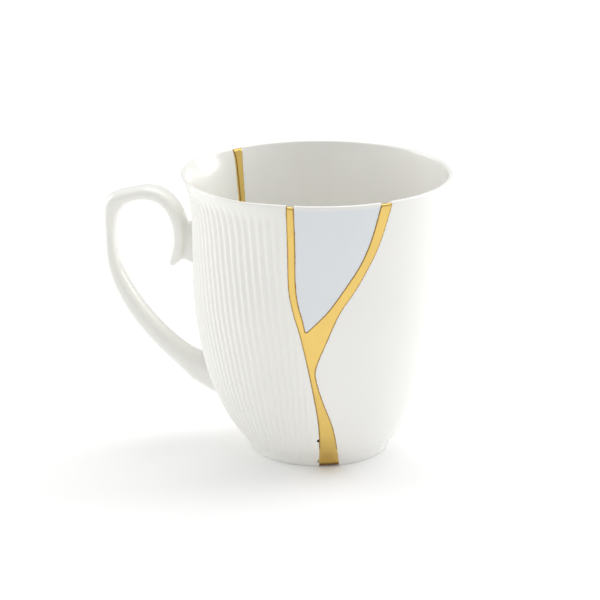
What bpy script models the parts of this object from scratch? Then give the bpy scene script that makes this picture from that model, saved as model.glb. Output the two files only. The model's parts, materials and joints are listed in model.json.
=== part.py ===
"""A kintsugi mug: three porcelain shards, one with flutes and the handle, joined by a seam of gold.

Metres, +Z up. The mug stands on its foot at z = 0, with its handle towards -X. Angles are degrees
round the mug's axis: 0 is the middle of the front, and plus is to the viewer's right.
"""

import math

import bmesh
import bpy
from mathutils import Vector

# Driving dimensions
HEIGHT = 0.100
HANDLE_REACH = 0.0775
RIM_RADIUS = 0.0465
HANDLE_ANGLE = -102.0
AXIS_X = (HANDLE_REACH - RIM_RADIUS) / 2
GAP = 0.0003

# Outside of the smooth ware, as (height, radius)
SMOOTH_OUTLINE = [
    (0.000, 0.0243),
    (0.003, 0.0256),
    (0.007, 0.0288),
    (0.013, 0.0326),
    (0.020, 0.0356),
    (0.030, 0.0385),
    (0.042, 0.0411),
    (0.056, 0.0434),
    (0.072, 0.0447),
    (0.088, 0.0459),
    (HEIGHT, RIM_RADIUS),
]
# Outside of the fluted ware over the tops of its ridges, with a lip that flares
FLUTED_OUTLINE = [
    (0.000, 0.0244),
    (0.003, 0.0259),
    (0.007, 0.0289),
    (0.013, 0.0330),
    (0.020, 0.0363),
    (0.030, 0.0400),
    (0.042, 0.0425),
    (0.056, 0.0442),
    (0.072, 0.0444),
    (0.084, 0.0445),
    (0.090, 0.0450),
    (0.094, 0.0458),
    (0.097, 0.0471),
    (HEIGHT, 0.0483),
]
# Angle over which the fluted outline passes into the smooth one beside a seam
OUTLINE_BLEND = 24.0

# Wall thickness, as (height, thickness)
WALL = [(0.020, 0.0037), (0.040, 0.0034), (0.080, 0.0029), (0.094, 0.0022), (HEIGHT, 0.0017)]
LIP_ROUND = 0.0007
LIP_EDGE = 0.0005
# Inside of the bowl below the wall, as (share of the wall's inner radius, height)
BOWL = [(0.0, 0.0062), (0.34, 0.0065), (0.60, 0.0076), (0.78, 0.0099), (0.905, 0.0139), (1.0, 0.0200)]

# Foot ring on the underside
FOOT_EDGE = 0.0005
FOOT_WIDTH = 0.0032
RECESS_HEIGHT = 0.0016

# Flutes: the ridges start this far apart at the rim and are placed from a first ridge
FLUTE_PITCH = 3.87
FIRST_RIDGE = -7.5
FLUTE_COUNT = 34
FLUTE_DEPTH = 0.00045
FLUTE_CLEARANCE = 3.4
# How far a ridge has swung towards the front at a height, as (height, share) of this angle
FLUTE_SWING = 10.0
SWING = [(0.000, 0.75), (0.014, 0.88), (0.028, 1.00), (0.044, 0.86), (0.062, 0.52), (0.078, 0.17), (0.092, 0.0)]

# Edges of the shards along the seams, as (height, angle)
FLUTED_FRONT = [
    (0.000, 0.0),
    (0.012, -0.1),
    (0.020, -0.7),
    (0.036, -4.2),
    (0.054, -8.8),
    (0.062, -11.6),
    (0.070, -13.4),
    (0.085, -13.5),
    (HEIGHT, -13.8),
]
SMOOTH_FRONT = [
    (0.000, 17.0),
    (0.008, 12.2),
    (0.019, 7.3),
    (0.029, 1.8),
    (0.038, -1.6),
    (0.042, -1.4),
    (0.050, 2.5),
    (0.062, 9.0),
    (0.070, 15.8),
    (0.077, 20.9),
    (0.085, 25.8),
    (HEIGHT, 31.8),
]
BLUE_LEFT = [(0.0555, -6.2), (0.060, -7.4), (0.065, -9.1), (0.072, -10.1), (0.087, -10.1), (HEIGHT, -10.5)]
BLUE_RIGHT = [
    (0.0555, -5.5),
    (0.0586, -1.5),
    (0.063, 3.8),
    (0.0713, 11.3),
    (0.0794, 17.8),
    (0.0876, 22.1),
    (HEIGHT, 26.4),
]
FLUTED_BACK = [(0.000, -135.0), (0.030, -138.6), (0.060, -137.2), (0.080, -137.8), (0.096, -137.4), (HEIGHT, -136.4)]
SMOOTH_BACK = [(0.000, -142.5), (0.030, -142.2), (0.060, -141.0), (0.080, -141.4), (HEIGHT, -141.8)]
BLUE_TIP = BLUE_LEFT[0][0]
BLUE_TIP_GAP = 0.0011
# The shards' edges meet the base along two lines through these points, from the axis
FLUTED_APEX = Vector((-0.0088, -0.0040))
SMOOTH_APEX = Vector((-0.0061, -0.0027))
BLUE_APEX = Vector((0.0, 0.0))
REGION_SLICES = 17
# Shares of the way from an apex to the wall's outside between which a seam's face is straight
WALL_START = 0.84
WALL_END = 1.10

# Gold: how far it stands off the glaze, and how far it stops short of the lip and of the ground
GOLD_PROUD = 0.0002
GOLD_BELOW_LIP = 0.00045
GOLD_ABOVE_GROUND = 0.0003

# Handle's middle line from the scroll's tip to the body, as (radius, height, thickness)
HANDLE_LINE = [
    (0.0528, 0.0642, 0.0030),
    (0.0512, 0.0668, 0.0046),
    (0.0500, 0.0700, 0.0052),
    (0.0496, 0.0745, 0.0056),
    (0.0505, 0.0796, 0.0054),
    (0.0530, 0.0847, 0.0051),
    (0.0571, 0.0882, 0.0052),
    (0.0620, 0.0892, 0.0051),
    (0.0670, 0.0883, 0.0049),
    (0.0712, 0.0868, 0.0058),
    (0.0738, 0.0848, 0.0070),
    (0.0750, 0.0815, 0.0053),
    (0.0754, 0.0740, 0.0038),
    (0.0746, 0.0634, 0.0043),
    (0.0711, 0.0540, 0.0055),
    (0.0649, 0.0444, 0.0063),
    (0.0569, 0.0357, 0.0070),
    (0.0493, 0.0295, 0.0080),
    (0.0434, 0.0257, 0.0106),
]
HANDLE_WIDTH = 0.0095
HANDLE_SIDES = 10
HANDLE_STATIONS = 28
# Where the lower arm spreads onto the body: middle of the joint, its height and its width
JOINT_HEIGHT = 0.0224
JOINT_TALL = 0.0182
JOINT_WIDE = 0.0120
# Short bridge from the scroll's back to the body, as (radius, lowest, highest, width)
BRIDGE = [
    (0.0430, 0.0636, 0.0788, 0.0074),
    (0.0452, 0.0641, 0.0791, 0.0070),
    (0.0472, 0.0648, 0.0796, 0.0064),
    (0.0496, 0.0655, 0.0794, 0.0050),
]

COARSE_STEP = 6.0
FLUTE_COLUMNS = 4
WALL_ROWS = [0.003, 0.007, 0.012, 0.019, 0.028, 0.040, 0.054, 0.069, 0.082, 0.091, 0.0965]
INSIDE_ROWS = [0.094, 0.084, 0.068, 0.050, 0.034, 0.020]


def clear_scene():
    for thing in list(bpy.data.objects):
        bpy.data.objects.remove(thing, do_unlink=True)


def smooth_value(points, at):
    """Height of the smooth curve through rising (place, value) points, held level past its ends."""
    last = len(points) - 1
    if at <= points[0][0]:
        return points[0][1]
    if at >= points[last][0]:
        return points[last][1]
    i = max(k for k in range(last) if points[k][0] <= at)

    def slope(k):
        low, high = max(k - 1, 0), min(k + 1, last)
        return (points[high][1] - points[low][1]) / (points[high][0] - points[low][0])

    span = points[i + 1][0] - points[i][0]
    t = (at - points[i][0]) / span
    start = (2 * t**3 - 3 * t**2 + 1) * points[i][1] + (t**3 - 2 * t**2 + t) * span * slope(i)
    end = (3 * t**2 - 2 * t**3) * points[i + 1][1] + (t**3 - t**2) * span * slope(i + 1)
    return start + end


def ease(t):
    t = min(max(t, 0.0), 1.0)
    return t * t * (3 - 2 * t)


def place(radius, angle, height):
    """A point of the mug: the handle's angle is turned to -X, and the axis is set off the origin."""
    turned = math.radians(angle - HANDLE_ANGLE - 90)
    return Vector((AXIS_X + radius * math.sin(turned), -radius * math.cos(turned), height))


def wrapped(angle):
    """The same angle between -180 and 180."""
    return (angle + 180) % 360 - 180


def seam_distance(angle, height):
    """Degrees from the nearer edge of the fluted shard, plus inside it."""
    front = smooth_value(FLUTED_FRONT, height) - wrapped(angle)
    back = wrapped(angle) - smooth_value(FLUTED_BACK, height)
    return min(front, back)


def outer_radius(angle, height):
    """Outside of the ware without its flutes."""
    share = ease(seam_distance(angle, HEIGHT) / OUTLINE_BLEND)
    smooth = smooth_value(SMOOTH_OUTLINE, height)
    return smooth + share * (smooth_value(FLUTED_OUTLINE, height) - smooth)


def inner_radius(angle, height):
    return outer_radius(angle, height) - smooth_value(WALL, height)


def swing(ridge, height):
    """Degrees that a flute has moved towards the front at a height."""
    return -FLUTE_SWING * math.sin(math.radians(ridge)) * smooth_value(SWING, height)


def flute_groove(step, angle, height):
    """Depth of the carving at a step of a flute's width from its ridge."""
    fade_top = ease((HEIGHT - 0.0025 - height) / 0.0045)
    fade_foot = ease((height - 0.001) / 0.003)
    fade_seam = ease((seam_distance(angle, height) - FLUTE_CLEARANCE / 2) / FLUTE_CLEARANCE)
    size = FLUTE_DEPTH * outer_radius(angle, height) / RIM_RADIUS
    return size * (1 - math.cos(2 * math.pi * step)) / 2 * fade_top * fade_foot * fade_seam


def flute_columns():
    """(angle at the rim, step from its ridge) of the fluted ware's columns, all the way round."""
    first = FIRST_RIDGE + FLUTE_PITCH / 2
    columns = []
    for k in range(FLUTE_COUNT * FLUTE_COLUMNS + 1):
        columns.append((first - k * FLUTE_PITCH / FLUTE_COLUMNS, (k / FLUTE_COLUMNS + 0.5) % 1.0))
    rest = 360 - FLUTE_COUNT * FLUTE_PITCH
    steps = round(rest / COARSE_STEP)
    for k in range(1, steps):
        columns.append((columns[FLUTE_COUNT * FLUTE_COLUMNS][0] - k * rest / steps, 0.0))
    return columns


def bridge_rings(bm, lower, upper):
    """Faces between two rings, each a dict of vertices by column, where one ring may skip columns."""
    shared = sorted(set(lower) & set(upper))
    count = max(max(lower), max(upper)) + 1
    for start, end in zip(shared, shared[1:] + [shared[0] + count]):
        span = range(start, end + 1)
        bottom = [lower[k % count] for k in span if k % count in lower]
        top = [upper[k % count] for k in reversed(span) if k % count in upper]
        bm.faces.new(bottom + top)


def cap_ring(bm, ring, centre):
    """A fan from a ring to a point on the axis."""
    columns = sorted(ring)
    for a, b in zip(columns, columns[1:] + columns[:1]):
        bm.faces.new((ring[a], ring[b], centre))


def cup_rings(grow, top, bottom):
    """Rings of a cup from the underside's recess, up the outside and down the inside: (height, radius of an angle).

    grow moves every surface outwards, and top and bottom are the heights of the lip and of the foot.
    """
    foot = SMOOTH_OUTLINE[0][1]
    inside_foot = foot - FOOT_WIDTH - 0.0008
    rings = [
        (max(RECESS_HEIGHT - grow, bottom), lambda angle: inside_foot - 0.0012 - grow),
        (bottom, lambda angle: inside_foot - grow),
        (bottom, lambda angle: outer_radius(angle, 0) - FOOT_EDGE + grow),
        (bottom + FOOT_EDGE, lambda angle: outer_radius(angle, FOOT_EDGE) + grow),
    ]
    for height in WALL_ROWS:
        rings.append((height, lambda angle, z=height: outer_radius(angle, z) + grow))
    shoulder = top - LIP_ROUND
    rings += [
        (shoulder, lambda angle: outer_radius(angle, HEIGHT - LIP_ROUND) + grow),
        (top, lambda angle: outer_radius(angle, HEIGHT) - LIP_EDGE + grow),
        (top, lambda angle: inner_radius(angle, HEIGHT) + LIP_EDGE - grow),
        (shoulder, lambda angle: inner_radius(angle, HEIGHT - LIP_ROUND) - grow),
    ]
    for height in INSIDE_ROWS:
        rings.append((height, lambda angle, z=height: inner_radius(angle, z) - grow))
    for share, height in reversed(BOWL[1:-1]):
        rings.append((height + grow, lambda angle, s=share: s * inner_radius(angle, 0.020)))
    return rings


def cup(name, columns, grow=0.0, top=HEIGHT, bottom=0.0, fluted=False):
    """A whole turned cup. Its columns are (angle, step), and flutes are carved where it is fluted."""
    bm = bmesh.new()
    coarse = {k for k in range(len(columns)) if not fluted or k % FLUTE_COLUMNS == 0}
    coarse |= set(range(FLUTE_COUNT * FLUTE_COLUMNS, len(columns))) if fluted else set()
    rings = []
    for index, (height, radius) in enumerate(cup_rings(grow, top, bottom)):
        carved = fluted and 4 <= index < 4 + len(WALL_ROWS)
        outside = index < 4 + len(WALL_ROWS)
        ring = {}
        for k, (angle, step) in enumerate(columns):
            if not carved and k not in coarse:
                continue
            leaning = angle
            if fluted and outside and k <= FLUTE_COUNT * FLUTE_COLUMNS:
                leaning = angle + swing(angle, height)
            size = radius(leaning)
            if carved and k <= FLUTE_COUNT * FLUTE_COLUMNS:
                size -= flute_groove(step, leaning, height)
            ring[k] = bm.verts.new(place(size, leaning, height))
        rings.append(ring)
    for lower, upper in zip(rings, rings[1:]):
        bridge_rings(bm, lower, upper)
    cap_ring(bm, rings[0], bm.verts.new(place(0, 0, RECESS_HEIGHT + 0.0002 - grow)))
    cap_ring(bm, rings[-1], bm.verts.new(place(0, 0, BOWL[0][1] + grow)))
    return finished(name, bm)


def finished(name, bm):
    """The bmesh as an object of triangles, facing out."""
    bmesh.ops.recalc_face_normals(bm, faces=bm.faces)
    bmesh.ops.triangulate(bm, faces=bm.faces, quad_method="FIXED")
    mesh = bpy.data.meshes.new(name)
    bm.to_mesh(mesh)
    bm.free()
    thing = bpy.data.objects.new(name, mesh)
    bpy.context.scene.collection.objects.link(thing)
    return thing


def region(name, apex, first_edge, last_edge, lowest, inset, raised=0.0):
    """The space of one shard: all that lies round from its first edge to its last, seen from the apex.

    It is a stack of level slices. Each side of a slice runs from the apex through the wall at its edge,
    and both sides are drawn in by the inset. A raised region starts that much higher.
    """
    heights = [lowest + (HEIGHT - lowest) * k / REGION_SLICES for k in range(REGION_SLICES + 1)]
    heights = [lowest + raised] + [height for height in heights if height > lowest + raised]
    heights = ([-0.004] if lowest == 0 else []) + heights + [HEIGHT + 0.004]
    axis = place(0, 0, 0).to_2d()
    bm = bmesh.new()
    slices = []
    for height in heights:
        ways = []
        for edge in (first_edge, last_edge):
            angle = smooth_value(edge, height)
            ways.append(place(outer_radius(angle, height), angle, 0).to_2d() - axis - turned(apex))
        start = math.atan2(ways[0].y, ways[0].x)
        span = (math.atan2(ways[1].y, ways[1].x) - start) % (2 * math.pi)
        middle = Vector((math.cos(start + span / 2), math.sin(start + span / 2)))
        origin = axis + turned(apex) + middle * inset / math.sin(span / 2)
        corners = [origin, origin + ways[0] * WALL_START, origin + ways[0] * WALL_END]
        for k in range(1, 5):
            way = start + span * k / 5
            corners.append(origin + 0.075 * Vector((math.cos(way), math.sin(way))))
        corners += [origin + ways[1] * WALL_END, origin + ways[1] * WALL_START]
        slices.append([bm.verts.new((*corner, height)) for corner in corners])
    for lower, upper in zip(slices, slices[1:]):
        for k in range(len(lower)):
            j = (k + 1) % len(lower)
            bm.faces.new((lower[k], lower[j], upper[j], upper[k]))
    bm.faces.new(reversed(slices[0]))
    bm.faces.new(slices[-1])
    thing = finished(name, bm)
    thing.hide_render = True
    thing.display_type = "WIRE"
    return thing


def turned(apex):
    """An apex, given with the front towards -Y, turned as the mug is."""
    angle = math.radians(-HANDLE_ANGLE - 90)
    return Vector(
        (
            apex.x * math.cos(angle) - apex.y * math.sin(angle),
            apex.x * math.sin(angle) + apex.y * math.cos(angle),
        )
    )


def combine(thing, operation, others):
    """Applies one Boolean after another to a piece, and removes what it was combined with."""
    bpy.context.view_layer.objects.active = thing
    for other in others:
        modifier = thing.modifiers.new(other.name, "BOOLEAN")
        modifier.operation = operation
        modifier.solver = "EXACT"
        modifier.object = other
        bpy.ops.object.modifier_apply(modifier=modifier.name)
        bpy.data.objects.remove(other, do_unlink=True)


def handle_point(radius, height, aside):
    """A point of the handle's plane, moved aside from it."""
    point = place(radius, HANDLE_ANGLE, height)
    return point + Vector((0, aside, 0))


def oval(bm, centre, across, thickness, width):
    """A ring of an oval section: across is the direction of its thickness in the handle's plane."""
    ring = []
    for k in range(HANDLE_SIDES):
        turn = 2 * math.pi * (k + 0.5) / HANDLE_SIDES
        out = math.copysign(abs(math.cos(turn)) ** 0.85, math.cos(turn)) * thickness / 2
        aside = math.copysign(abs(math.sin(turn)) ** 0.85, math.sin(turn)) * width / 2
        ring.append(bm.verts.new(handle_point(centre.x + across.x * out, centre.y + across.y * out, aside)))
    return ring


def loft(bm, rings):
    for lower, upper in zip(rings, rings[1:]):
        for k in range(len(lower)):
            j = (k + 1) % len(lower)
            bm.faces.new((lower[k], lower[j], upper[j], upper[k]))
    bm.faces.new(rings[0])
    bm.faces.new(rings[-1])


def handle():
    """The strap, from the scroll's tip over the thumb corner and down to the body."""
    lengths = [0.0]
    for a, b in zip(HANDLE_LINE, HANDLE_LINE[1:]):
        lengths.append(lengths[-1] + math.dist(a[:2], b[:2]))
    lines = [[(s, point[i]) for s, point in zip(lengths, HANDLE_LINE)] for i in range(3)]

    def at(s):
        return Vector([smooth_value(line, s) for line in lines])

    bm = bmesh.new()
    rings = []
    tip = at(0)
    heading = (at(0.0005) - tip).to_2d().normalized()
    across = Vector((-heading.y, heading.x))
    rings.append(oval(bm, tip.to_2d() - heading * 0.0009, across, tip.z * 0.5, HANDLE_WIDTH * 0.5))
    for k in range(HANDLE_STATIONS + 1):
        s = lengths[-1] * k / HANDLE_STATIONS
        here = at(s)
        step = 0.0004
        heading = (at(min(s + step, lengths[-1])) - at(max(s - step, 0))).to_2d().normalized()
        across = Vector((-heading.y, heading.x))
        width = HANDLE_WIDTH * (0.78 + 0.22 * ease(s / 0.006))
        width += (JOINT_WIDE - HANDLE_WIDTH) * 0.5 * ease((s - lengths[-1] + 0.012) / 0.012)
        rings.append(oval(bm, here.to_2d(), across, here.z, width))
    wall = outer_radius(HANDLE_ANGLE, JOINT_HEIGHT) - 0.0015
    rise = outer_radius(HANDLE_ANGLE, JOINT_HEIGHT + 0.008) - outer_radius(HANDLE_ANGLE, JOINT_HEIGHT - 0.008)
    along_wall = Vector((rise, 0.016)).normalized()
    if along_wall.dot(across) < 0:
        along_wall.negate()
    rings.append(oval(bm, Vector((wall, JOINT_HEIGHT)), along_wall, JOINT_TALL, JOINT_WIDE))
    loft(bm, rings)
    return finished("handle", bm)


def scroll_bridge():
    """The short web that holds the scroll's back to the body."""
    bm = bmesh.new()
    rings = []
    for radius, low, high, width in BRIDGE:
        rings.append(oval(bm, Vector((radius, (low + high) / 2)), Vector((0, 1)), high - low, width))
    loft(bm, rings)
    return finished("bridge", bm)


def material(name, colour, roughness, metallic=0.0):
    """A Principled material of one linear colour."""
    made = bpy.data.materials.new(name)
    made.use_nodes = True
    shader = made.node_tree.nodes["Principled BSDF"]
    shader.inputs["Base Color"].default_value = (*colour, 1)
    shader.inputs["Roughness"].default_value = roughness
    shader.inputs["Metallic"].default_value = metallic
    return made


def dress(thing, made):
    """Smooth shading that keeps hard edges, and one material."""
    thing.data.shade_smooth()
    thing.data.set_sharp_from_angle(angle=math.radians(40))
    thing.data.materials.clear()
    thing.data.materials.append(made)


def fluted_shard():
    shard = cup("fluted_shard", flute_columns(), fluted=True)
    space = region("fluted_space", FLUTED_APEX, FLUTED_BACK, FLUTED_FRONT, 0.0, GAP)
    combine(shard, "INTERSECT", [space])
    combine(shard, "UNION", [handle(), scroll_bridge()])
    dress(shard, material("fluted_porcelain", (0.80, 0.79, 0.76), 0.12))


def smooth_columns():
    count = round(360 / COARSE_STEP)
    return [(-k * 360 / count, 0.0) for k in range(count)]


def blue_shard():
    shard = cup("blue_shard", smooth_columns())
    space = region("blue_space", BLUE_APEX, BLUE_LEFT, BLUE_RIGHT, BLUE_TIP, GAP, raised=BLUE_TIP_GAP)
    combine(shard, "INTERSECT", [space])
    dress(shard, material("blue_glaze", (0.60, 0.66, 0.72), 0.12))


def smooth_shard():
    shard = cup("smooth_shard", smooth_columns())
    space = region("smooth_space", SMOOTH_APEX, SMOOTH_FRONT, SMOOTH_BACK, 0.0, GAP)
    combine(shard, "INTERSECT", [space])
    dress(shard, material("white_porcelain", (0.84, 0.84, 0.83), 0.10))


def gold_seam():
    """What is left of a slightly larger cup when the three shards' spaces are taken out of it."""
    seam = cup(
        "gold_seam",
        smooth_columns(),
        grow=GOLD_PROUD,
        top=HEIGHT - GOLD_BELOW_LIP,
        bottom=GOLD_ABOVE_GROUND,
    )
    spaces = [
        region("fluted_space", FLUTED_APEX, FLUTED_BACK, FLUTED_FRONT, 0.0, 0.0),
        region("blue_space", BLUE_APEX, BLUE_LEFT, BLUE_RIGHT, BLUE_TIP, 0.0),
        region("smooth_space", SMOOTH_APEX, SMOOTH_FRONT, SMOOTH_BACK, 0.0, 0.0),
    ]
    combine(seam, "DIFFERENCE", spaces)
    dress(seam, material("gold", (0.80, 0.55, 0.20), 0.18, metallic=1.0))


clear_scene()
fluted_shard()
blue_shard()
smooth_shard()
gold_seam()
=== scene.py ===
import json
import math

import bpy
import numpy as np
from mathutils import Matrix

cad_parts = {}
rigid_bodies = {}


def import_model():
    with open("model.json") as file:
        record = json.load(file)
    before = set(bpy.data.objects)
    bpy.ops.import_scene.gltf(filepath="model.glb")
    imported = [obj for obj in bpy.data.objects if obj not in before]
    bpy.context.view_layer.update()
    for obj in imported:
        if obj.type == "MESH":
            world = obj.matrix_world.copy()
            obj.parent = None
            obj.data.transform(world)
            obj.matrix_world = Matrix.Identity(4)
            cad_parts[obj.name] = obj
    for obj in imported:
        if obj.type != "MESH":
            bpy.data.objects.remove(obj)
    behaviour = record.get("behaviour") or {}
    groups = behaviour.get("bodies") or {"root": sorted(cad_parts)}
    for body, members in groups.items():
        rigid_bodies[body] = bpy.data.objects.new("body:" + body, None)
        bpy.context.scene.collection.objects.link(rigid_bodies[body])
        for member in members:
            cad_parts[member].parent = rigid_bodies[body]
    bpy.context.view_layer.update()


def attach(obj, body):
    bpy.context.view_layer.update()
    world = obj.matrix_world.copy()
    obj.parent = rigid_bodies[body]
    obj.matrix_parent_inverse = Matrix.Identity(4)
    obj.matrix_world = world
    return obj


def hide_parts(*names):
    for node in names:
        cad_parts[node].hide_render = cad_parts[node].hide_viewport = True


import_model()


# Fluted shard
# Left part of the mug with its ear-shaped handle, in hard porcelain. The wall is slip cast with soft
# flutes and a flaring lip, the handle is luted on, and both are glazed and fired as one.
HEIGHT = 0.100
HANDLE_ANGLE = -102.0
AXIS_X = 0.0155

SMOOTH_OUTLINE = [
    (0.000, 0.0243), (0.003, 0.0256), (0.007, 0.0288), (0.013, 0.0326), (0.020, 0.0356), (0.030, 0.0385),
    (0.042, 0.0411), (0.056, 0.0434), (0.072, 0.0447), (0.088, 0.0459), (HEIGHT, 0.0465),
]
FLUTED_OUTLINE = [
    (0.000, 0.0244), (0.003, 0.0259), (0.007, 0.0289), (0.013, 0.0330), (0.020, 0.0363), (0.030, 0.0400),
    (0.042, 0.0425), (0.056, 0.0442), (0.072, 0.0444), (0.084, 0.0445), (0.090, 0.0450), (0.094, 0.0458),
    (0.097, 0.0471), (HEIGHT, 0.0483),
]
OUTLINE_BLEND = 24.0
WALL = [(0.020, 0.0037), (0.040, 0.0034), (0.080, 0.0029), (0.094, 0.0022), (HEIGHT, 0.0017)]
LIP_ROUND = 0.0007
LIP_ROWS = 11
BOWL = [(0.0, 0.0062), (0.34, 0.0065), (0.60, 0.0076), (0.78, 0.0099), (0.905, 0.0139), (1.0, 0.0200)]
FOOT_EDGE = 0.0005
FOOT_INSIDE = 0.0203
FOOT_SLOPE = 0.0012
RECESS_HEIGHT = 0.0016
RECESS_DOME = 0.0002
FOOT_ROWS = 5
WALL_ROWS = 88
INSIDE_ROWS = 44
BOWL_ROWS = 18

FLUTE_PITCH = 3.87
FIRST_RIDGE = -7.5
FLUTE_COUNT = 34
FLUTE_COLUMNS = 10
FLUTE_DEPTH = 0.00048
FLUTE_CLEARANCE = 3.4
FLUTE_TOP_GAP = 0.0025
FLUTE_TOP_FADE = 0.0045
FLUTE_FOOT_GAP = 0.001
FLUTE_FOOT_FADE = 0.003
FLUTE_SWING = 10.0
SWING = [(0.000, 0.75), (0.014, 0.88), (0.028, 1.00), (0.044, 0.86), (0.062, 0.52), (0.078, 0.17), (0.092, 0.0)]
PLAIN_STEP = 3.0

FLUTED_FRONT = [
    (0.000, 0.0), (0.012, -0.1), (0.020, -0.7), (0.036, -4.2), (0.054, -8.8), (0.062, -11.6), (0.070, -13.4),
    (0.085, -13.5), (HEIGHT, -13.8),
]
FLUTED_BACK = [(0.000, -135.0), (0.030, -138.6), (0.060, -137.2), (0.080, -137.8), (0.096, -137.4), (HEIGHT, -136.4)]
FLUTED_APEX = (-0.0088, -0.0040)
SPACE_SLICES = 60
SPACE_PAST = 0.004
SPACE_REACH = 0.075
SPACE_CORNERS = 4
INSIDE_EDGE, OUTSIDE_EDGE = 0.84, 1.10

HANDLE_LINE = [
    (0.0528, 0.0642, 0.0030), (0.0512, 0.0668, 0.0046), (0.0500, 0.0700, 0.0052), (0.0496, 0.0745, 0.0056),
    (0.0505, 0.0796, 0.0054), (0.0530, 0.0847, 0.0051), (0.0571, 0.0882, 0.0052), (0.0620, 0.0892, 0.0051),
    (0.0670, 0.0883, 0.0049), (0.0712, 0.0868, 0.0058), (0.0738, 0.0848, 0.0070), (0.0750, 0.0815, 0.0053),
    (0.0754, 0.0740, 0.0038), (0.0746, 0.0634, 0.0043), (0.0711, 0.0540, 0.0055), (0.0649, 0.0444, 0.0063),
    (0.0569, 0.0357, 0.0070), (0.0493, 0.0295, 0.0080), (0.0434, 0.0257, 0.0106),
]
HANDLE_WIDTH = 0.0095
HANDLE_SIDES = 36
HANDLE_STATIONS = 110
HANDLE_SQUARENESS = 0.85
HEADING_STEP = 0.0004
TIP_LENGTH = 0.0013
TIP_WIDTH_SHARE = 0.78
TIP_TAPER = 0.006
JOINT_HEIGHT = 0.0224
JOINT_TALL = 0.0182
JOINT_WIDE = 0.0120
JOINT_FLARE = 0.012
JOINT_SINK = 0.0015
JOINT_REACH = 0.008
JOINT_CREASE = 22
JOINT_SKIN = 0.0012
JOINT_LOWEST, JOINT_HIGHEST = 0.008, 0.085
BRIDGE_ROWS = 14
BRIDGE = [
    (0.0430, 0.0636, 0.0788, 0.0074), (0.0452, 0.0641, 0.0791, 0.0070), (0.0472, 0.0648, 0.0796, 0.0064),
    (0.0496, 0.0655, 0.0794, 0.0050),
]


def smooth_value(points, at):
    """The smooth curve through rising (place, value) points, held level past its ends."""
    spot, value = np.array(points, float).T
    slope = np.empty_like(value)
    slope[1:-1] = (value[2:] - value[:-2]) / (spot[2:] - spot[:-2])
    slope[0] = (value[1] - value[0]) / (spot[1] - spot[0])
    slope[-1] = (value[-1] - value[-2]) / (spot[-1] - spot[-2])
    at = np.clip(np.asarray(at, float), spot[0], spot[-1])
    i = np.clip(np.searchsorted(spot, at, side="right") - 1, 0, len(spot) - 2)
    span = spot[i + 1] - spot[i]
    t = (at - spot[i]) / span
    start = (2 * t**3 - 3 * t**2 + 1) * value[i] + (t**3 - 2 * t**2 + t) * span * slope[i]
    end = (3 * t**2 - 2 * t**3) * value[i + 1] + (t**3 - t**2) * span * slope[i + 1]
    return start + end


def ease(t):
    t = np.clip(t, 0.0, 1.0)
    return t * t * (3 - 2 * t)


def place(radius, angle, height):
    """Points of the mug at angles round its axis: 0 is the middle of the front, plus is to the right."""
    turned = np.radians(np.asarray(angle, float) - HANDLE_ANGLE - 90)
    spread = np.broadcast_arrays(AXIS_X + radius * np.sin(turned), -radius * np.cos(turned), height)
    return np.stack(spread, axis=-1).astype(float)


def seam_distance(angle, height):
    """Degrees from the nearer edge of the fluted shard, plus inside it."""
    wrapped = (angle + 180) % 360 - 180
    return np.minimum(smooth_value(FLUTED_FRONT, height) - wrapped, wrapped - smooth_value(FLUTED_BACK, height))


def outer_radius(angle, height):
    """Outside of the ware without its flutes."""
    share = ease(seam_distance(angle, HEIGHT) / OUTLINE_BLEND)
    smooth = smooth_value(SMOOTH_OUTLINE, height)
    return smooth + share * (smooth_value(FLUTED_OUTLINE, height) - smooth)


def flute_groove(step, angle, height):
    """Depth of the carving at a step of a flute's width from its ridge."""
    fade_top = ease((HEIGHT - FLUTE_TOP_GAP - height) / FLUTE_TOP_FADE)
    fade_foot = ease((height - FLUTE_FOOT_GAP) / FLUTE_FOOT_FADE)
    fade_seam = ease((seam_distance(angle, height) - FLUTE_CLEARANCE / 2) / FLUTE_CLEARANCE)
    size = FLUTE_DEPTH * outer_radius(angle, height) / SMOOTH_OUTLINE[-1][1]
    return size * (1 - np.cos(2 * math.pi * step)) / 2 * fade_top * fade_foot * fade_seam


def skin(name, rows):
    """A closed skin over rows of points that run round a piece. The first row and the last are one point each."""
    rows = np.asarray(rows, float)
    bpy.ops.object.select_all(action="DESELECT")
    bpy.ops.mesh.primitive_grid_add(x_subdivisions=rows.shape[1], y_subdivisions=rows.shape[0] - 1, size=2)
    thing = bpy.context.object
    thing.name = thing.data.name = name
    flat = np.empty(len(thing.data.vertices) * 3, np.float32)
    thing.data.vertices.foreach_get("co", flat)
    share = (flat.reshape(-1, 3) + 1) / 2
    column = np.rint(share[:, 0] * rows.shape[1]).astype(int) % rows.shape[1]
    row = np.rint(share[:, 1] * (rows.shape[0] - 1)).astype(int)
    thing.data.vertices.foreach_set("co", rows[row, column].astype(np.float32).ravel())
    bpy.ops.object.mode_set(mode="EDIT")
    bpy.ops.mesh.select_all(action="SELECT")
    bpy.ops.mesh.remove_doubles(threshold=1e-6)
    bpy.ops.mesh.normals_make_consistent(inside=False)
    bpy.ops.object.mode_set(mode="OBJECT")
    return thing


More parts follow.
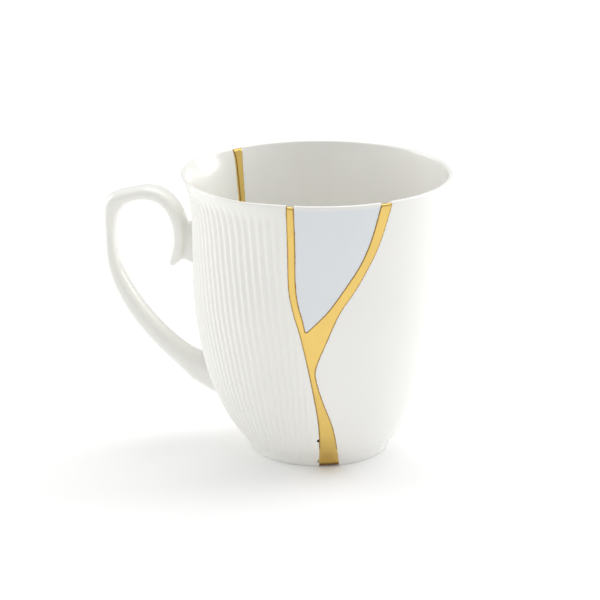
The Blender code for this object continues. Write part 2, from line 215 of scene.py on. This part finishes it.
def cup(name, angles, steps=None, grow=0.0, top=HEIGHT, bottom=0.0):
    """A whole turned cup, from the underside's middle up the outside and down into the bowl.

    Its columns stand at angles, and flutes are carved where steps are given. grow moves each face outwards.
    """
    def leaning(height):
        if steps is None:
            return angles
        swung = -FLUTE_SWING * np.sin(np.radians(angles)) * smooth_value(SWING, height)
        return np.where(np.isnan(steps), angles, angles + swung)

    rows = [place(np.zeros_like(angles), angles, RECESS_HEIGHT + RECESS_DOME - grow)]
    rows.append(place(FOOT_INSIDE - FOOT_SLOPE - grow, leaning(0), max(RECESS_HEIGHT - grow, bottom)))
    rows.append(place(FOOT_INSIDE - grow, leaning(0), bottom))
    for turn in np.linspace(0, math.pi / 2, FOOT_ROWS):
        edge = outer_radius(leaning(0), 0) - FOOT_EDGE * (1 - math.sin(turn)) + grow
        rows.append(place(edge, leaning(0), bottom + FOOT_EDGE * (1 - math.cos(turn))))
    for height in np.linspace(bottom + FOOT_EDGE, top - LIP_ROUND, WALL_ROWS)[1:-1]:
        turned = leaning(height)
        radius = outer_radius(turned, height) + grow
        if steps is not None:
            radius = radius - np.where(np.isnan(steps), 0.0, flute_groove(np.nan_to_num(steps), turned, height))
        rows.append(place(radius, turned, height))
    half = WALL[-1][1] / 2
    for turn in np.linspace(0, math.pi, LIP_ROWS):
        height = top - LIP_ROUND + LIP_ROUND * math.sin(turn)
        middle = outer_radius(angles, height) - half
        rows.append(place(middle + (half + grow) * math.cos(turn), angles, height))
    for height in np.linspace(top - LIP_ROUND, BOWL[-1][1], INSIDE_ROWS)[1:]:
        rows.append(place(outer_radius(angles, height) - smooth_value(WALL, height) - grow, angles, height))
    rim_of_bowl = outer_radius(angles, BOWL[-1][1]) - WALL[0][1] - grow
    for share in np.sin(np.linspace(1, 0, BOWL_ROWS) * math.pi / 2)[1:]:
        rows.append(place(share * rim_of_bowl, angles, smooth_value(BOWL, share) + grow))
    return skin(name, rows)


def shard_space(name, apex, first_edge, last_edge, lowest=0.0, inset=0.0):
    """The space of one shard, in level slices: all that lies round from its first edge to its last."""
    turn = math.radians(-HANDLE_ANGLE - 90)
    cosine, sine = math.cos(turn), math.sin(turn)
    apex = np.array((apex[0] * cosine - apex[1] * sine, apex[0] * sine + apex[1] * cosine))
    below = [-SPACE_PAST] if lowest == 0 else []
    heights = [*below, *np.linspace(lowest, HEIGHT, SPACE_SLICES), HEIGHT + SPACE_PAST]
    rows = []
    for height in heights:
        ways = []
        for edge in (first_edge, last_edge):
            angle = smooth_value(edge, height)
            ways.append(place(outer_radius(angle, height), angle, 0)[:2] - (AXIS_X, 0) - apex)
        start = math.atan2(ways[0][1], ways[0][0])
        span = (math.atan2(ways[1][1], ways[1][0]) - start) % (2 * math.pi)
        middle = np.array((math.cos(start + span / 2), math.sin(start + span / 2)))
        origin = np.array((AXIS_X, 0)) + apex + middle * inset / math.sin(span / 2)
        corners = [origin, origin + ways[0] * INSIDE_EDGE, origin + ways[0] * OUTSIDE_EDGE]
        for k in range(1, SPACE_CORNERS + 1):
            way = start + span * k / (SPACE_CORNERS + 1)
            corners.append(origin + SPACE_REACH * np.array((math.cos(way), math.sin(way))))
        corners += [origin + ways[1] * OUTSIDE_EDGE, origin + ways[1] * INSIDE_EDGE]
        rows.append([(*corner, height) for corner in corners])
    rows = [[rows[0][0]] * len(rows[0]), *rows, [rows[-1][0]] * len(rows[0])]
    return skin(name, rows)


def combine(thing, operation, others, folds=False):
    """Applies a Boolean with each of the others in turn, and removes them.

    folds allows for shapes that fold on themselves.
    """
    bpy.context.view_layer.objects.active = thing
    for other in others:
        modifier = thing.modifiers.new(other.name, "BOOLEAN")
        modifier.operation = operation
        modifier.solver = "EXACT"
        modifier.use_self = folds
        modifier.object = other
        bpy.ops.object.modifier_apply(modifier=modifier.name)
        bpy.data.objects.remove(other, do_unlink=True)
    return thing


def oval(centre, across, thickness, width):
    """A ring of the handle's section. centre and across are in the handle's plane, as (radius, height)."""
    turn = 2 * math.pi * (np.arange(HANDLE_SIDES) + 0.5) / HANDLE_SIDES
    out = np.copysign(np.abs(np.cos(turn)) ** HANDLE_SQUARENESS, np.cos(turn)) * thickness / 2
    aside = np.copysign(np.abs(np.sin(turn)) ** HANDLE_SQUARENESS, np.sin(turn)) * width / 2
    ring = place(centre[0] + across[0] * out, HANDLE_ANGLE, centre[1] + across[1] * out)
    ring[:, 1] += aside
    return ring


def handle():
    """The strap, from the scroll's tip over the thumb corner and down to the body."""
    line = np.array(HANDLE_LINE)
    lengths = np.concatenate(([0.0], np.cumsum(np.linalg.norm(np.diff(line[:, :2], axis=0), axis=1))))
    curves = [np.column_stack((lengths, line[:, i])) for i in range(3)]

    def at(s):
        return np.array([float(smooth_value(curve, s)) for curve in curves])

    def frame_at(s):
        heading = (at(min(s + HEADING_STEP, lengths[-1])) - at(max(s - HEADING_STEP, 0)))[:2]
        heading = heading / np.linalg.norm(heading)
        return at(s), heading, np.array((-heading[1], heading[0]))

    tip, heading, across = frame_at(0)
    rows = [oval(tip[:2] - heading * TIP_LENGTH, across, 0, 0)]
    for turn in np.linspace(80, 16, 5):
        size, back = math.cos(math.radians(turn)), math.sin(math.radians(turn)) * TIP_LENGTH
        rows.append(oval(tip[:2] - heading * back, across, tip[2] * size, HANDLE_WIDTH * TIP_WIDTH_SHARE * size))
    for s in np.linspace(0, lengths[-1], HANDLE_STATIONS):
        here, heading, across = frame_at(s)
        width = HANDLE_WIDTH * (TIP_WIDTH_SHARE + (1 - TIP_WIDTH_SHARE) * ease(s / TIP_TAPER))
        width += (JOINT_WIDE - HANDLE_WIDTH) * 0.5 * ease((s - lengths[-1] + JOINT_FLARE) / JOINT_FLARE)
        rows.append(oval(here[:2], across, here[2], width))
    wall = float(outer_radius(HANDLE_ANGLE, JOINT_HEIGHT)) - JOINT_SINK
    above = outer_radius(HANDLE_ANGLE, JOINT_HEIGHT + JOINT_REACH)
    rise = float(above - outer_radius(HANDLE_ANGLE, JOINT_HEIGHT - JOINT_REACH))
    along_wall = np.array((rise, 2 * JOINT_REACH)) / math.hypot(rise, 2 * JOINT_REACH)
    along_wall = along_wall if along_wall @ across > 0 else -along_wall
    joint = np.array((wall, JOINT_HEIGHT))
    for t in np.linspace(0, 1, 7)[1:]:
        spread = t * t
        middle = here[:2] + (joint - here[:2]) * t
        facing = across + (along_wall - across) * t
        tall = here[2] + (JOINT_TALL - here[2]) * spread
        rows.append(oval(middle, facing / np.linalg.norm(facing), tall, width + (JOINT_WIDE - width) * spread))
    rows.append(oval(joint, along_wall, 0, 0))
    return skin("handle", rows)


def scroll_bridge():
    """The short web that holds the scroll's back to the body."""
    web = np.array(BRIDGE)
    rows = []
    for radius in np.linspace(web[0, 0], web[-1, 0], BRIDGE_ROWS):
        low, high, width = (float(smooth_value(web[:, (0, i)], radius)) for i in (1, 2, 3))
        rows.append(oval((radius, (low + high) / 2), (0, 1), high - low, width))
    ends = [oval((web[k, 0], (web[k, 1] + web[k, 2]) / 2), (0, 1), 0, 0) for k in (0, -1)]
    return skin("bridge", [ends[0], *rows, ends[1]])


def soften_joints(thing):
    """Fillets where the handle meets the body: the sharp edges there and the faces round them are smoothed."""
    bpy.ops.object.select_all(action="DESELECT")
    thing.select_set(True)
    bpy.context.view_layer.objects.active = thing
    bpy.ops.object.mode_set(mode="EDIT")
    bpy.ops.mesh.select_mode(type="EDGE")
    bpy.ops.mesh.select_all(action="DESELECT")
    bpy.ops.mesh.edges_select_sharp(sharpness=math.radians(JOINT_CREASE))
    bpy.ops.mesh.select_mode(type="VERT")
    bpy.ops.object.mode_set(mode="OBJECT")
    count = len(thing.data.vertices)
    points = np.empty(count * 3, np.float32)
    thing.data.vertices.foreach_get("co", points)
    points = points.reshape(-1, 3)
    picked = np.empty(count, bool)
    thing.data.vertices.foreach_get("select", picked)
    wall = outer_radius(HANDLE_ANGLE, points[:, 2]) - JOINT_SKIN
    outside = np.hypot(points[:, 0] - AXIS_X, points[:, 1]) > wall
    near = (np.abs(points[:, 1]) < HANDLE_WIDTH) & (points[:, 0] < AXIS_X) & outside
    near &= (points[:, 2] > JOINT_LOWEST) & (points[:, 2] < JOINT_HIGHEST)
    thing.data.vertices.foreach_set("select", picked & near)
    thing.data.edges.foreach_set("select", np.zeros(len(thing.data.edges), bool))
    thing.data.polygons.foreach_set("select", np.zeros(len(thing.data.polygons), bool))
    bpy.ops.object.mode_set(mode="EDIT")
    for _ in range(2):
        bpy.ops.mesh.select_more()
    bpy.ops.mesh.vertices_smooth(factor=0.5, repeat=8)
    bpy.ops.object.mode_set(mode="OBJECT")


def smooth_shading(thing, degrees=38):
    bpy.ops.object.select_all(action="DESELECT")
    thing.select_set(True)
    bpy.context.view_layer.objects.active = thing
    bpy.ops.object.shade_smooth_by_angle(angle=math.radians(degrees))


CLOUD_SIZE = 0.022
DIMPLE_SIZE = 0.0016
DIMPLE_DEPTH = 0.000012
GLASS_IOR = 1.5


def linear(hex_colour):
    """An sRGB hex colour as the linear colour that a shader takes."""
    parts = [int(hex_colour[i:i + 2], 16) / 255 for i in (0, 2, 4)]
    return (*[c / 12.92 if c <= 0.04045 else ((c + 0.055) / 1.055) ** 2.4 for c in parts], 1.0)


def add_node(material, kind, inputs, **settings):
    """A new node of a material. An input is a plain value, or another node's output to link."""
    new = material.node_tree.nodes.new("ShaderNode" + kind)
    for name, value in settings.items():
        setattr(new, name, value)
    for name, value in inputs.items():
        if isinstance(value, bpy.types.NodeSocket):
            material.node_tree.links.new(value, new.inputs[name])
        else:
            new.inputs[name].default_value = value
    return new


def glazed_porcelain(name, body, cloud, glaze_roughness):
    """White body under a clear glaze: a soft gloss, faint clouds in the white, and an orange-peel ripple."""
    material = bpy.data.materials.new(name)
    material.use_nodes = True
    shader = material.node_tree.nodes["Principled BSDF"]
    spots = add_node(material, "TexCoord", {}).outputs["Object"]
    clouds = add_node(material, "TexNoise", {"Vector": spots, "Scale": 1 / CLOUD_SIZE, "Detail": 3.0})
    colour = add_node(
        material, "Mix", {0: clouds.outputs[0], 6: linear(body), 7: linear(cloud)}, data_type="RGBA"
    )
    grain = add_node(material, "TexNoise", {"Vector": spots, "Scale": 1 / DIMPLE_SIZE, "Detail": 2.0})
    dimple = add_node(material, "Bump", {"Height": grain.outputs[0], "Strength": 0.35, "Distance": DIMPLE_DEPTH})
    rough = add_node(
        material, "MapRange",
        {"Value": clouds.outputs[0], "From Min": 0.3, "From Max": 0.7, "To Min": 0.30, "To Max": 0.40},
    )
    material.node_tree.links.new(colour.outputs[2], shader.inputs["Base Color"])
    material.node_tree.links.new(rough.outputs[0], shader.inputs["Roughness"])
    material.node_tree.links.new(dimple.outputs[0], shader.inputs["Normal"])
    shader.inputs["IOR"].default_value = GLASS_IOR
    shader.inputs["Coat Weight"].default_value = 1.0
    shader.inputs["Coat Roughness"].default_value = glaze_roughness
    shader.inputs["Coat IOR"].default_value = GLASS_IOR
    return material, colour


def flute_grid():
    """Angles of the fluted cup's columns at the rim, and each one's step from its ridge, or none."""
    first = FIRST_RIDGE + FLUTE_PITCH / 2
    count = FLUTE_COUNT * FLUTE_COLUMNS
    k = np.arange(count + 1)
    angles = first - k * FLUTE_PITCH / FLUTE_COLUMNS
    steps = (k / FLUTE_COLUMNS + 0.5) % 1.0
    rest = 360 - FLUTE_COUNT * FLUTE_PITCH
    plain = round(rest / PLAIN_STEP)
    others = angles[-1] - np.arange(1, plain) * rest / plain
    return np.concatenate((angles, others)), np.concatenate((steps, np.full(plain - 1, np.nan)))


fluted_shard = cup("fluted_shard_glazed", *flute_grid())
combine(fluted_shard, "INTERSECT", [shard_space("fluted_space", FLUTED_APEX, FLUTED_BACK, FLUTED_FRONT)])
ear = combine(handle(), "UNION", [scroll_bridge()], folds=True)
combine(fluted_shard, "UNION", [ear], folds=True)
soften_joints(fluted_shard)
smooth_shading(fluted_shard)
fluted_glaze, _ = glazed_porcelain("hard_porcelain_fluted_glazed", "F4F3EE", "F0F0EA", 0.16)
fluted_shard.data.materials.clear()
fluted_shard.data.materials.append(fluted_glaze)
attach(fluted_shard, "root")
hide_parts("fluted_shard")


# Blue shard
# The small wedge at the front of the rim, from another cup of the same form. It is porcelain with a
# pale blue-grey glaze outside, wiped off the lip, and the clear glaze inside.
BLUE_LEFT = [(0.0555, -6.2), (0.060, -7.4), (0.065, -9.1), (0.072, -10.1), (0.087, -10.1), (HEIGHT, -10.5)]
BLUE_RIGHT = [
    (0.0555, -5.5), (0.0586, -1.5), (0.063, 3.8), (0.0713, 11.3), (0.0794, 17.8), (0.0876, 22.1), (HEIGHT, 26.4),
]
BLUE_TIP = BLUE_LEFT[0][0]
BLUE_GLAZE_TOP = HEIGHT - 0.0008
OUTSIDE_SKIN = 0.0004


def column_angles(spans, fine=1.5, coarse=6.0):
    """Angles of a plain cup's columns once round: fine steps within the spans, coarse ones elsewhere."""
    angles = [180.0]
    while angles[-1] > -180 + fine:
        close = any(low - fine <= angles[-1] <= high + coarse for low, high in spans)
        angles.append(angles[-1] - (fine if close else coarse))
    return np.array(angles[:-1])


def vertex_places(thing):
    """Angle, radius and height of each vertex round the mug's axis."""
    points = np.empty(len(thing.data.vertices) * 3, np.float32)
    thing.data.vertices.foreach_get("co", points)
    x, y, height = points.reshape(-1, 3).astype(float).T
    angle = np.degrees(np.arctan2(x - AXIS_X, -y)) + HANDLE_ANGLE + 90
    return (angle + 180) % 360 - 180, np.hypot(x - AXIS_X, y), height


def write_attribute(thing, name, values):
    layer = thing.data.attributes.new(name, "FLOAT", "POINT")
    layer.data.foreach_set("value", values.astype(np.float32))


blue_shard = cup("blue_shard_glazed", column_angles([(-11, 27)], fine=1.0))
blue_space = shard_space("blue_space", (0, 0), BLUE_LEFT, BLUE_RIGHT, BLUE_TIP)
combine(blue_shard, "INTERSECT", [blue_space], folds=True)
smooth_shading(blue_shard)
angle, radius, height = vertex_places(blue_shard)
outside = radius > outer_radius(angle, height) - OUTSIDE_SKIN
write_attribute(blue_shard, "blue_glaze", (outside & (height < BLUE_GLAZE_TOP)).astype(float))
blue_glaze, body_colour = glazed_porcelain("porcelain_pale_blue_glaze", "F4F3EE", "F1F1ED", 0.10)
glazed_part = add_node(blue_glaze, "Attribute", {}, attribute_name="blue_glaze")
two_glazes = add_node(
    blue_glaze, "Mix",
    {0: glazed_part.outputs["Fac"], 6: body_colour.outputs[2], 7: linear("E2E7EB")},
    data_type="RGBA",
)
blue_glaze.node_tree.links.new(
    two_glazes.outputs[2], blue_glaze.node_tree.nodes["Principled BSDF"].inputs["Base Color"]
)
blue_shard.data.materials.clear()
blue_shard.data.materials.append(blue_glaze)
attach(blue_shard, "root")
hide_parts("blue_shard")


# Smooth shard
# The right part of the mug, from a plain cup: white hard porcelain, jiggered or cast without flutes,
# under a clear glossy glaze, with its share of the foot ring.
SMOOTH_FRONT = [
    (0.000, 17.0), (0.008, 12.2), (0.019, 7.3), (0.029, 1.8), (0.038, -1.6), (0.042, -1.4), (0.050, 2.5),
    (0.062, 9.0), (0.070, 15.8), (0.077, 20.9), (0.085, 25.8), (HEIGHT, 31.8),
]
SMOOTH_BACK = [(0.000, -142.5), (0.030, -142.2), (0.060, -141.0), (0.080, -141.4), (HEIGHT, -141.8)]
SMOOTH_APEX = (-0.0061, -0.0027)

smooth_shard = cup("smooth_shard_glazed", column_angles([(-180, -140), (-2, 180)], fine=2.0))
combine(smooth_shard, "INTERSECT", [shard_space("smooth_space", SMOOTH_APEX, SMOOTH_FRONT, SMOOTH_BACK)])
smooth_shading(smooth_shard)
white_glaze, _ = glazed_porcelain("hard_porcelain_clear_glaze", "F4F3EF", "F0F0EC", 0.08)
smooth_shard.data.materials.clear()
smooth_shard.data.materials.append(white_glaze)
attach(smooth_shard, "root")
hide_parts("smooth_shard")


# Gold seam
# The repair: filled lacquer in the joints, raised a little over the glaze and gilded, then burnished.
# A thin brown line is painted along both of its edges.
GOLD_PROUD = 0.0002
GOLD_BELOW_LIP = 0.00045
GOLD_ABOVE_GROUND = 0.0003
GOLD_LAP = 0.00012
GOLD_GRAIN = 0.00028
BROWN_EDGE_WIDTH = 0.00034
BROWN_EDGE_FULL = 1.25
SEAM_LEAN = 0.85
SEAM_INSIDE = 0.030
# Painted dark reflection: the gold is browned towards its end at the foot, below this height.
PAINTED_FOOT_REFLECTION = 0.0020
PAINTED_FOOT_REFLECTION_FADE = 0.0012
RUBBED_SIZE = 0.009
WAVE_SIZE = 0.004
WAVE_DEPTH = 0.00010

gold_seam = cup(
    "gold_seam_burnished", column_angles([(-143, -135), (-14, 32)]),
    grow=GOLD_PROUD, top=HEIGHT - GOLD_BELOW_LIP, bottom=GOLD_ABOVE_GROUND,
)
combine(
    gold_seam, "DIFFERENCE",
    [
        shard_space("fluted_space", FLUTED_APEX, FLUTED_BACK, FLUTED_FRONT, inset=GOLD_LAP),
        shard_space("blue_space", (0, 0), BLUE_LEFT, BLUE_RIGHT, BLUE_TIP, inset=GOLD_LAP),
        shard_space("smooth_space", SMOOTH_APEX, SMOOTH_FRONT, SMOOTH_BACK, inset=GOLD_LAP),
    ],
    folds=True,
)
filled = gold_seam.modifiers.new("filled", "REMESH")
filled.mode = "VOXEL"
filled.voxel_size = GOLD_GRAIN
bpy.ops.object.modifier_apply(modifier=filled.name)
burnished = gold_seam.modifiers.new("burnished", "SMOOTH")
burnished.factor = 0.5
burnished.iterations = 8
bpy.ops.object.modifier_apply(modifier=burnished.name)
smooth_shading(gold_seam, 60)


def brown_edges_and_painted_foot_reflection(thing):
    """1 along the seam's edges, falling to 0 within the width of the brown line, and 1 at its end at the foot, where
    it is a painted dark reflection.
    """
    angle, radius, height = vertex_places(thing)
    nearest = np.full(len(angle), 1.0)
    for edge in (FLUTED_FRONT, SMOOTH_FRONT, BLUE_LEFT, BLUE_RIGHT, FLUTED_BACK, SMOOTH_BACK):
        turned = (angle - smooth_value(edge, height) + 180) % 360 - 180
        below = np.maximum(edge[0][0] - height, 0)
        nearest = np.minimum(nearest, np.hypot(np.radians(turned) * radius * SEAM_LEAN, below))
    line = np.clip(BROWN_EDGE_FULL - nearest / BROWN_EDGE_WIDTH, 0, 1)
    line[radius < SEAM_INSIDE] = 0
    # Painted dark reflection at the foot.
    foot = np.clip((PAINTED_FOOT_REFLECTION - height) / PAINTED_FOOT_REFLECTION_FADE, 0, 1)
    return np.maximum(line, foot)


write_attribute(gold_seam, "brown_edges_and_painted_foot_reflection", brown_edges_and_painted_foot_reflection(gold_seam))
gold = bpy.data.materials.new("burnished_gold_over_lacquer")
gold.use_nodes = True
gold_shader = gold.node_tree.nodes["Principled BSDF"]
gold_spots = add_node(gold, "TexCoord", {}).outputs["Object"]
rubbed = add_node(gold, "TexNoise", {"Vector": gold_spots, "Scale": 1 / RUBBED_SIZE, "Detail": 4.0})
leaf = add_node(gold, "Mix", {0: rubbed.outputs[0], 6: linear("EBCB74"), 7: linear("E0BE70")}, data_type="RGBA")
edge = add_node(gold, "Attribute", {}, attribute_name="brown_edges_and_painted_foot_reflection")
# The painted brown edge line and the painted dark reflection at the foot are mixed into the gold's colour.
brown_edges_and_dark_foot = add_node(gold, "Mix", {0: edge.outputs["Fac"], 6: leaf.outputs[2], 7: linear("8F6A38")}, data_type="RGBA")
sheen = add_node(
    gold, "MapRange",
    {"Value": rubbed.outputs[0], "From Min": 0.3, "From Max": 0.7, "To Min": 0.14, "To Max": 0.26},
)
waves = add_node(gold, "TexNoise", {"Vector": gold_spots, "Scale": 1 / WAVE_SIZE, "Detail": 1.0})
hand_laid = add_node(gold, "Bump", {"Height": waves.outputs[0], "Strength": 0.5, "Distance": WAVE_DEPTH})
gold.node_tree.links.new(brown_edges_and_dark_foot.outputs[2], gold_shader.inputs["Base Color"])
gold.node_tree.links.new(sheen.outputs[0], gold_shader.inputs["Roughness"])
gold.node_tree.links.new(hand_laid.outputs[0], gold_shader.inputs["Normal"])
gold_shader.inputs["Metallic"].default_value = 1.0
gold_seam.data.materials.clear()
gold_seam.data.materials.append(gold)
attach(gold_seam, "root")
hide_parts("gold_seam")


# Floor
# A plain white sweep under the mug. It glows a little, as a floor does that is lit on its own.
FLOOR_SIZE = 8.0
FLOOR_GLOW = 0.06

bpy.ops.object.select_all(action="DESELECT")
bpy.ops.mesh.primitive_plane_add(size=FLOOR_SIZE, location=(0, 0, 0))
floor = bpy.context.object
floor.name = "floor"
floor_white = bpy.data.materials.new("matt_white_sweep")
floor_white.use_nodes = True
floor_shader = floor_white.node_tree.nodes["Principled BSDF"]
floor_shader.inputs["Base Color"].default_value = linear("F6F6F6")
floor_shader.inputs["Roughness"].default_value = 0.9
floor_shader.inputs["Specular IOR Level"].default_value = 0.1
floor_shader.inputs["Emission Color"].default_value = (1, 1, 1, 1)
floor_shader.inputs["Emission Strength"].default_value = FLOOR_GLOW
floor.data.materials.append(floor_white)


# Light
# Soft studio light: a pale surround, a large softbox to the right and a little behind, a weaker one to
# the left, and one above and behind.
AIM = (AXIS_X, 0, 0.05)
CAMERA_TURN = 12.0
SURROUND = 0.65


def softbox(name, turn, rise, distance, size, power):
    """A square light at a turn to the right of the camera's side and at a rise above level, aimed at the mug."""
    around, up = math.radians(CAMERA_TURN + turn), math.radians(rise)
    way = np.array((math.sin(around) * math.cos(up), -math.cos(around) * math.cos(up), math.sin(up)))
    lamp = bpy.data.objects.new(name, bpy.data.lights.new(name, "AREA"))
    bpy.context.scene.collection.objects.link(lamp)
    lamp.data.size = size
    lamp.data.energy = power
    lamp.location = np.array(AIM) + way * distance
    lamp.rotation_euler = (math.radians(90 - rise), 0, around)
    return lamp


softbox("right_softbox", 114, 25, 1.3, 0.8, 7.6)
softbox("left_softbox", -112, 20, 1.3, 0.8, 5.4)
softbox("top_softbox", 160, 72, 1.2, 1.0, 5.5)
surround = bpy.data.worlds.new("surround")
surround.use_nodes = True
surround.node_tree.nodes["Background"].inputs["Color"].default_value = (1, 1, 1, 1)
surround.node_tree.nodes["Background"].inputs["Strength"].default_value = SURROUND
bpy.context.scene.world = surround
bpy.context.scene.view_settings.view_transform = "Standard"


# Camera
# At the photograph's angle: a long lens, a little above the rim, with the handle to the left.
CAMERA_RISE = 17.66
CAMERA_DISTANCE = 0.900
LENS = 153.2
FILM_WIDTH = 36
SHIFT_RIGHT, SHIFT_UP = -0.0322, 0.015

camera = bpy.data.objects.new("camera", bpy.data.cameras.new("camera"))
bpy.context.scene.collection.objects.link(camera)
rise, turn = math.radians(CAMERA_RISE), math.radians(CAMERA_TURN)
camera.location = (
    AIM[0] + CAMERA_DISTANCE * math.cos(rise) * math.sin(turn),
    AIM[1] - CAMERA_DISTANCE * math.cos(rise) * math.cos(turn),
    AIM[2] + CAMERA_DISTANCE * math.sin(rise),
)
camera.rotation_euler = (math.radians(90 - CAMERA_RISE), 0, turn)
camera.data.lens = LENS
camera.data.sensor_width = FILM_WIDTH
camera.data.shift_x = SHIFT_RIGHT
camera.data.shift_y = SHIFT_UP
bpy.context.scene.camera = camera
